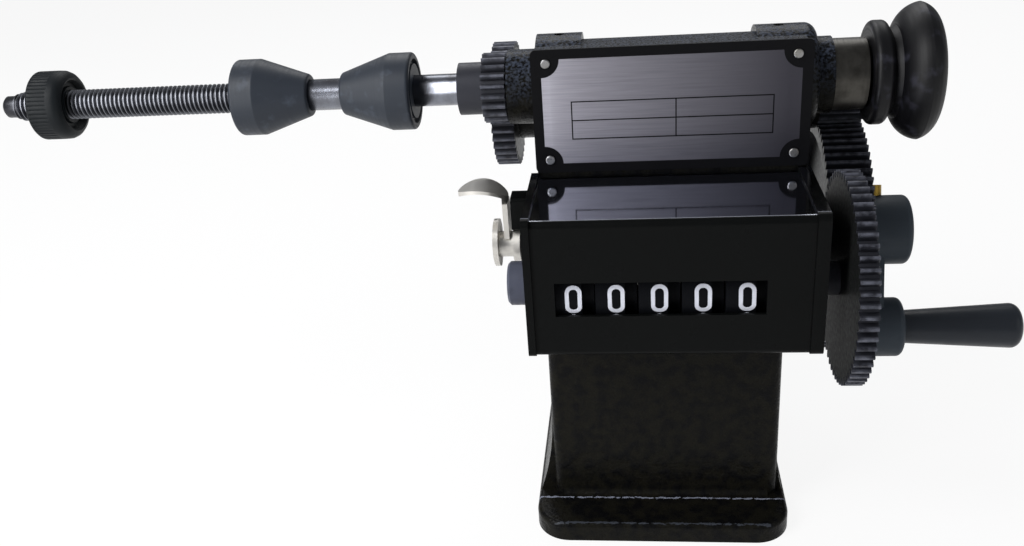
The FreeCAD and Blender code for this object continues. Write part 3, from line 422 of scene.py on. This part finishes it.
def brushedAluminium():
    # rolled sheet brushed along its length: streaks a few tenths wide, drawn coarse enough to
    # show, and painted shade that darkens it towards its right end, in place of the fall-off of
    # its reflection
    v = aluminiumFinish
    material, shader, place = startMaterial("brushedPlateAluminium", v["streakColours"][0],
                                            v["roughness"], v["metallic"])
    streaks = grain(material, place, v["streaks"], 3, v["streakStretch"])
    # painted shade: the plate darkens towards its right end, in place of the fall-off of its
    # reflection
    shadeRamp = remap(material, onAxis(material, place, "X"), inMetres(v["paintedShadeAlong"]))
    shadeRamp = addNode(material, "ShaderNodeMath", {0: shadeRamp, 1: v["paintedShadeCurve"]},
                      operation="POWER").outputs[0]
    sheet = blend(material, remap(material, streaks, usualGrain), *v["streakColours"])
    feed(material, blend(material, shadeRamp, sheet, v["paintedShade"]), shader, "Base Color")
    feed(material, remap(material, streaks, usualGrain, v["gloss"]), shader, "Roughness")
    emboss(material, shader, streaks, v["streakDepth"], v["bump"])
    return material


nickelFinish = {
    "colour": "#d2cfc9", "roughness": 0.4, "metallic": 0.85, "gloss": (0.3, 0.5),
    "smears": 4, "ripples": 2.4, "rippleDepth": 0.05, "bump": 0.4}


def nickelPlate():
    # nickel over bent sheet: a soft mirror with small ripples
    v = nickelFinish
    material, shader, place = startMaterial("nickelPlateOnSteel", v["colour"], v["roughness"],
                                            v["metallic"])
    feed(material, remap(material, grain(material, place, v["smears"]), usualGrain, v["gloss"]),
         shader, "Roughness")
    emboss(material, shader, grain(material, place, v["ripples"], detail=2), v["rippleDepth"],
           v["bump"])
    return material


spindleCentre = centreOf("spindle_shaft")
dress(["frame_casting", "frame_head"], enamelOnSandCasting())
dress(["spindle_shaft"], threadedSteel(spindleCentre))
dress(["spindle_bush_right"], turnedMetal("brownedCollarSteel", spindleCentre))
for node, tonesAndLight in gearTonesAndPaintedLight.items():
    dress([node], blackenedGearSteel(node, tonesAndLight))
for node in ("layshaft", "crank_shaft", "handle_pin", "counter_shaft", "reset_shaft",
             "crank_shaft_collar"):
    dress([node], turnedMetal("turnedSteel", centreOf(node), "_" + node))
for node in ("spindle_bush_left", "layshaft_bush_left", "layshaft_bush_right", "crank_bush"):
    dress([node], turnedMetal("turnedBronze", centreOf(node), "_" + node))
dress(["counter_screws", "plate_rivets"], turnedMetal("zincPlatedSteel", spindleCentre))
dress(["counter_shell", "counter_side_left", "counter_side_right"], glossEnamelOnSheet())
dress(["name_plate"], smoothEnamel("printedBlackOnAluminium"))
dress(["crank_arm"], smoothEnamel("satinBlueGreyEnamel"))
dress(["counter_shaft_cap"], turnedPlastic("turnedGreyPlastic", centreOf("counter_shaft_cap")))
dress(["crank_screw"], turnedMetal("turnedBrass", centreOf("crank_arm")))
dress(["hand_wheel"], turnedPlastic("turnedPhenolic", spindleCentre))
dress(["cone_left", "cone_right"], turnedPlastic("turnedBlackNylon", spindleCentre))
dress(["clamp_nut"], mouldedPlastic("mouldedNutPlastic"))
dress(["handle_grip"], mouldedPlastic("mouldedGripPlastic"))
dress(["number_wheel_%d" % n for n in range(1, 6)], mouldedPlastic("mouldedWheelPlastic"))
dress(["reset_key"], nickelPlate())
whiteFigures = mouldedPlastic("paintedWhiteFigures")
print("finishes on", len(nodes), "nodes")


# helpers for meshes

def lathe(bm, profile, centre, steps, lead=0.0):
    # spins (x, radius) points in millimetres once round a shaft along X, which shifts them by
    # lead as it turns
    y, z = centre
    corners = [bm.verts.new((x * mm, y, z + r * mm)) for x, r in profile]
    edges = [bm.edges.new(pair) for pair in zip(corners, corners[1:])]
    bmesh.ops.spin(bm, geom=corners + edges, cent=(0, y, z), axis=(1, 0, 0),
                   dvec=(lead * mm / steps, 0, 0), angle=math.tau, steps=steps,
                   use_merge=lead == 0, use_normal_flip=False, use_duplicate=False)
    bmesh.ops.remove_doubles(bm, verts=bm.verts, dist=mergeReach)


def fromSpindle(vert):
    # a vertex's way out from the spindle's centre line
    return Vector((0, vert.co.y - spindleCentre[0], vert.co.z - spindleCentre[1]))


def placeOnSpindle(vert, x, reach):
    vert.co = (x, spindleCentre[0] + reach.y, spindleCentre[1] + reach.z)


def finishMesh(bm, name, material, body, smooth=30):
    # turns the bmesh into a piece that rides on a body; smooth is the sharpest angle kept soft
    bmesh.ops.recalc_face_normals(bm, faces=bm.faces)
    mesh = bpy.data.meshes.new(name)
    bm.to_mesh(mesh)
    bm.free()
    mesh.shade_smooth()
    mesh.set_sharp_from_angle(angle=math.radians(smooth))
    mesh.materials.append(material)
    piece = bpy.data.objects.new(name, mesh)
    bpy.context.collection.objects.link(piece)
    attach(piece, body)
    return piece


# spindle rod with a real thread

def makeThreadedRod():
    low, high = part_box("spindle_shaft")
    left, right = low.x / mm, high.x / mm
    v = rodValues
    threadStart, threadEnd, root = v["threadStart"], v["threadEnd"], v["root"]
    bm = bmesh.new()
    turns = int((threadEnd - threadStart) / v["pitch"]) + 1
    profile = []
    for turn in range(turns + 1):
        start = threadStart - v["pitch"] + turn * v["pitch"]
        profile += [(start, root), (start + v["rootEnd"] * v["pitch"], root),
                    (start + v["crestStart"] * v["pitch"], v["crest"]),
                    (start + v["crestEnd"] * v["pitch"], v["crest"])]
    lathe(bm, profile, spindleCentre, v["turnSteps"], v["pitch"])
    # the thread runs out into the core at both ends
    for vert in bm.verts:
        x = vert.co.x / mm
        fade = max(0.0, min(1.0, min(x - threadStart, threadEnd - x) / v["runOut"]))
        reach = fromSpindle(vert)
        reach *= (root * mm + (reach.length - root * mm) * fade) / reach.length
        placeOnSpindle(vert, max(threadStart, min(threadEnd, x)) * mm, reach)
    bmesh.ops.remove_doubles(bm, verts=bm.verts, dist=mergeReach)
    collarLeft = threadStart - v["collarWidth"]
    lathe(bm, [(left, 0), (left, v["tipRadius"] - v["tipBevel"]),
               (left + v["tipBevel"], v["tipRadius"]), (collarLeft, v["tipRadius"]),
               (collarLeft, v["collarRadius"]), (threadStart, v["collarRadius"]),
               (threadStart, 0)], spindleCentre, v["tipSteps"])
    lathe(bm, [(threadEnd, 0), (threadEnd, v["plainRadius"] - v["plainBevel"]),
               (threadEnd + v["plainBevel"], v["plainRadius"]), (right, v["plainRadius"]),
               (right, 0)], spindleCentre, v["plainSteps"])
    rod = finishMesh(bm, "threaded_rod", nodes["spindle_shaft"].data.materials[0], "spindle",
                     smooth=50)
    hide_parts("spindle_shaft")


makeThreadedRod()
print("threaded rod made")


# clamping nut with ribs round its left half

nutValues = {
    "ribs": 48, "stepsPerRib": 4, "ribDepth": 0.34, "ribsAlong": (1.8, 7.9), "ribCurve": 0.6,
    "outside": 0.97,  # share of the radius past which a corner is on the ribbed outside
    "bore": 4.85, "mouth": 8.4,
    # in from the left end, below the outside
    "leftSide": ((0.5, 1.1), (1.0, 0.4), (1.4, 0.06), (1.7, 0), (2.1, 0), (7.6, 0), (8.0, 0),
                 (8.4, 0.02)),
    # in from the right end, below the outside
    "rightSide": ((2.4, 0.1), (1.2, 0.6), (0.4, 1.4), (0, 2.6)),
    # in from the right end, radius
    "recess": ((0.3, 8.1), (1.2, 7.7), (2.0, 7.3), (2.0, 6.2), (1.1, 5.9), (1.1, 4.85))}


def makeNut():
    low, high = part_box("clamp_nut")
    left, right, outer = low.x / mm, high.x / mm, (high.z - low.z) / 2 / mm
    v = nutValues
    profile = [(left, v["bore"]), (left, v["mouth"])]
    profile += [(left + x, outer - below) for x, below in v["leftSide"]]
    profile += [(right - x, outer - below) for x, below in v["rightSide"]]
    profile += [(right - x, radius) for x, radius in v["recess"]]
    bm = bmesh.new()
    lathe(bm, profile + profile[:1], spindleCentre, v["ribs"] * v["stepsPerRib"])
    ribsStart, ribsEnd = v["ribsAlong"]
    for vert in bm.verts:
        x = vert.co.x / mm - left
        reach = fromSpindle(vert)
        if ribsStart < x < ribsEnd and reach.length >= v["outside"] * outer * mm:
            wave = max(0.0, math.cos(math.atan2(reach.z, reach.y) * v["ribs"]))
            depth = wave ** v["ribCurve"] * v["ribDepth"] * mm
            reach *= (reach.length - depth) / reach.length
            placeOnSpindle(vert, vert.co.x, reach)
    nut = finishMesh(bm, "knurled_nut", nodes["clamp_nut"].data.materials[0], "nut",
                     smooth=35)
    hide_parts("clamp_nut")


makeNut()
print("nut made")


# name plate: a silver field with a ruled table, left bare of words, on the black plate

plateValues = {
    "right": 37.3, "low": -18.2, "high": 13.6,  # from the spindle's centre line
    "notch": 5.4, "notchSteps": 12, "raise": 0.05,
    "tableLeft": -28.8, "tableRight": 29.6, "tableLow": -10.65, "tableHigh": 0.73,
    "tableSplit": 1.7, "line": 0.36, "rowRaise": 0.02, "columnRaise": 0.022}


def raiseSheet(bm, outline, front, thick):
    # an outline of (x, z) points in millimetres, raised from the plate's front towards -Y
    corners = [bm.verts.new((x * mm, front, z * mm)) for x, z in outline]
    face = bm.faces.new(corners)
    grown = bmesh.ops.extrude_face_region(bm, geom=[face])["geom"]
    lifted = [item for item in grown if isinstance(item, bmesh.types.BMVert)]
    bmesh.ops.translate(bm, verts=lifted, vec=(0, -thick * mm, 0))


def raiseBar(bm, left, right, low, high, front, thick):
    raiseSheet(bm, ((left, low), (right, low), (right, high), (left, high)), front, thick)


def makePlateField():
    v = plateValues
    zero, front = spindleCentre[1] / mm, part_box("name_plate")[0].y
    outline = []
    for x, z, start in ((v["right"], v["high"], 270), (-v["right"], v["high"], 360),
                        (-v["right"], v["low"], 90), (v["right"], v["low"], 180)):
        for step in range(v["notchSteps"] + 1):
            turn = math.radians(start - step * 90 / v["notchSteps"])
            outline.append((x + v["notch"] * math.cos(turn),
                            zero + z + v["notch"] * math.sin(turn)))
    bm = bmesh.new()
    raiseSheet(bm, outline, front, v["raise"])
    finishMesh(bm, "plate_field", brushedAluminium(), "frame")
    bm = bmesh.new()
    half, fieldFront = v["line"] / 2, front - v["raise"] * mm
    low, high = zero + v["tableLow"], zero + v["tableHigh"]
    for z in (low, (low + high) / 2, high):
        raiseBar(bm, v["tableLeft"] - half, v["tableRight"] + half, z - half, z + half,
                 fieldFront, v["rowRaise"])
    for x in (v["tableLeft"], v["tableSplit"], v["tableRight"]):
        raiseBar(bm, x - half, x + half, low, high, fieldFront, v["columnRaise"])
    finishMesh(bm, "plate_lines", nodes["name_plate"].data.materials[0], "frame")


makePlateField()
print("name plate's field made")


# figures on the counter's wheels

figureValues = {
    "height": 8.4, "width": 4.8, "stroke": 1.15, "thick": 0.12,
    "lift": 5.2,  # degrees by which the nought stands above the wheel's middle
    "clearance": 0.01, "rows": 8, "zeroRound": 0.92, "zeroSteps": 32, "oneWidth": 0.55,
    "embolden": 0.02, "curveSteps": 4}


def zeroFlat(bm):
    # a rounded, upright ring, flat in XY
    v = figureValues
    loops = []
    for inset in (0, v["stroke"]):
        halfWide, halfHigh = v["width"] / 2 - inset, v["height"] / 2 - inset
        bend = v["zeroRound"] * halfWide
        ring = bmesh.ops.create_circle(bm, cap_ends=False, radius=bend,
                                       segments=v["zeroSteps"])["verts"]
        for vert in ring:
            vert.co.x += math.copysign(halfWide - bend, vert.co.x)
            vert.co.y += math.copysign(halfHigh - bend, vert.co.y)
        loops += list({edge for vert in ring for edge in vert.link_edges})
    bmesh.ops.bridge_loops(bm, edges=loops)


def digitFlat(bm, digit):
    # a numeral of the built-in typeface, stretched to the figures' size, flat in XY
    v = figureValues
    curve = bpy.data.curves.new("figure", "FONT")
    curve.body = str(digit)
    curve.offset = v["embolden"]
    curve.resolution_u = v["curveSteps"]
    text = bpy.data.objects.new("figure", curve)
    mesh = bpy.data.meshes.new_from_object(text)
    bm.from_mesh(mesh)
    wide = v["oneWidth"] if digit == 1 else 1.0
    for axis, size in ((0, v["width"] * wide), (1, v["height"])):
        spread = [vert.co[axis] for vert in bm.verts]
        low, high = min(spread), max(spread)
        for vert in bm.verts:
            vert.co[axis] = ((vert.co[axis] - low) / (high - low) - 0.5) * size
    bpy.data.meshes.remove(mesh)
    bpy.data.objects.remove(text)
    bpy.data.curves.remove(curve)


def makeFigures(index):
    low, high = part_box("number_wheel_%d" % index)
    centre, radius = centreOf("number_wheel_%d" % index), (high.z - low.z) / 2
    v = figureValues
    whole = bmesh.new()
    for digit in range(10):
        flat = bmesh.new()
        if digit:
            digitFlat(flat, digit)
        else:
            zeroFlat(flat)
        # rows of vertices up the figure let it bend round the wheel
        for row in range(1, v["rows"]):
            height = (row / v["rows"] - 0.5) * v["height"]
            everything = flat.verts[:] + flat.edges[:] + flat.faces[:]
            bmesh.ops.bisect_plane(flat, geom=everything, plane_co=(0, height, 0),
                                   plane_no=(0, 1, 0))
        grown = bmesh.ops.extrude_face_region(flat, geom=flat.faces[:])["geom"]
        lifted = [item for item in grown if isinstance(item, bmesh.types.BMVert)]
        bmesh.ops.translate(flat, verts=lifted, vec=(0, 0, v["thick"]))
        for vert in flat.verts:
            out = radius + (vert.co.z + v["clearance"]) * mm
            turn = vert.co.y * mm / radius + math.radians(v["lift"] + 36 * digit)
            vert.co = ((low.x + high.x) / 2 + vert.co.x * mm,
                       centre[0] - out * math.cos(turn), centre[1] + out * math.sin(turn))
        mesh = bpy.data.meshes.new("figure")
        flat.to_mesh(mesh)
        flat.free()
        whole.from_mesh(mesh)
        bpy.data.meshes.remove(mesh)
    finishMesh(whole, "figures_%d" % index, whiteFigures, "figure_wheel_%d" % index,
               smooth=40)


for index in range(1, 6):
    makeFigures(index)
print("figures made")


# floor, light and camera

stageValues = {
    "floorSize": 6.0, "floorColour": "#f4f4f4", "floorRoughness": 0.9, "glow": 0.9,
    "worldColour": "#e9ecf2", "worldStrength": 0.3}
lampValues = {  # place, target, size in metres, watts
    "keyLamp": ((-0.55, -0.4, 0.7), (-0.02, 0, 0.1), (0.45, 0.45), 6.0),
    "sideLamp": ((-0.38, -0.36, 0.2), (-0.05, 0, 0.12), (0.2, 0.3), 1.3),
    "fillLamp": ((0.7, -0.5, 0.45), (0, 0, 0.09), (0.5, 0.5), 0.8),
    "backLamp": ((-0.1, 0.6, 0.7), (0, 0, 0.12), (0.8, 0.4), 3.0)}
cameraValues = {
    "lens": 36.1, "sensor": 36.0, "clipStart": 0.01, "place": (-0.01009, -0.31655, 0.22281),
    "turn": (64.637, 3.925, 5.899)}


def makeFloor():
    # pale matte floor that keeps the shadows, and looks white to the camera and in reflections
    bm = bmesh.new()
    bmesh.ops.create_grid(bm, x_segments=1, y_segments=1, size=stageValues["floorSize"] / 2)
    mesh = bpy.data.meshes.new("floor")
    bm.to_mesh(mesh)
    bm.free()
    floor = bpy.data.objects.new("floor", mesh)
    bpy.context.collection.objects.link(floor)
    material, shader, _ = startMaterial("paleFloor", stageValues["floorColour"],
                                        stageValues["floorRoughness"])
    rays = addNode(material, "ShaderNodeLightPath").outputs
    seen = rays["Is Camera Ray"]
    for ray in ("Is Glossy Ray", "Is Transmission Ray"):
        seen = addNode(material, "ShaderNodeMath", {0: seen, 1: rays[ray]},
                       operation="MAXIMUM").outputs[0]
    glow = addNode(material, "ShaderNodeEmission", {"Color": (1, 1, 1, 1), "Strength": 1.0})
    mixed = addNode(material, "ShaderNodeMixShader", {
        0: times(material, seen, stageValues["glow"]), 1: shader.outputs[0], 2: glow.outputs[0]})
    output = material.node_tree.nodes["Material Output"]
    material.node_tree.links.new(mixed.outputs[0], output.inputs[0])
    mesh.materials.append(material)


def makeLamp(name, place, target, size, power):
    lamp = bpy.data.lights.new(name, "AREA")
    lamp.shape = "RECTANGLE"
    lamp.size, lamp.size_y = size
    lamp.energy = power
    holder = bpy.data.objects.new(name, lamp)
    holder.location = place
    holder.rotation_euler = (Vector(target) - Vector(place)).to_track_quat("-Z", "Y").to_euler()
    bpy.context.collection.objects.link(holder)


def makeCamera():
    v = cameraValues
    lens = bpy.data.cameras.new("camera")
    lens.lens = v["lens"]
    lens.sensor_width = v["sensor"]
    lens.clip_start = v["clipStart"]
    camera = bpy.data.objects.new("camera", lens)
    camera.location = v["place"]
    camera.rotation_euler = [math.radians(a) for a in v["turn"]]
    bpy.context.collection.objects.link(camera)
    bpy.context.scene.camera = camera


def makeWorld():
    world = bpy.data.worlds.new("studio")
    bpy.context.scene.world = world
    world.use_nodes = True
    background = world.node_tree.nodes["Background"].inputs
    background["Color"].default_value = toLinear(stageValues["worldColour"])
    background["Strength"].default_value = stageValues["worldStrength"]


makeFloor()
for name, values in lampValues.items():
    makeLamp(name, *values)
makeCamera()
makeWorld()
bpy.context.scene.view_settings.view_transform = "Standard"
print("stage, lamps and camera made")
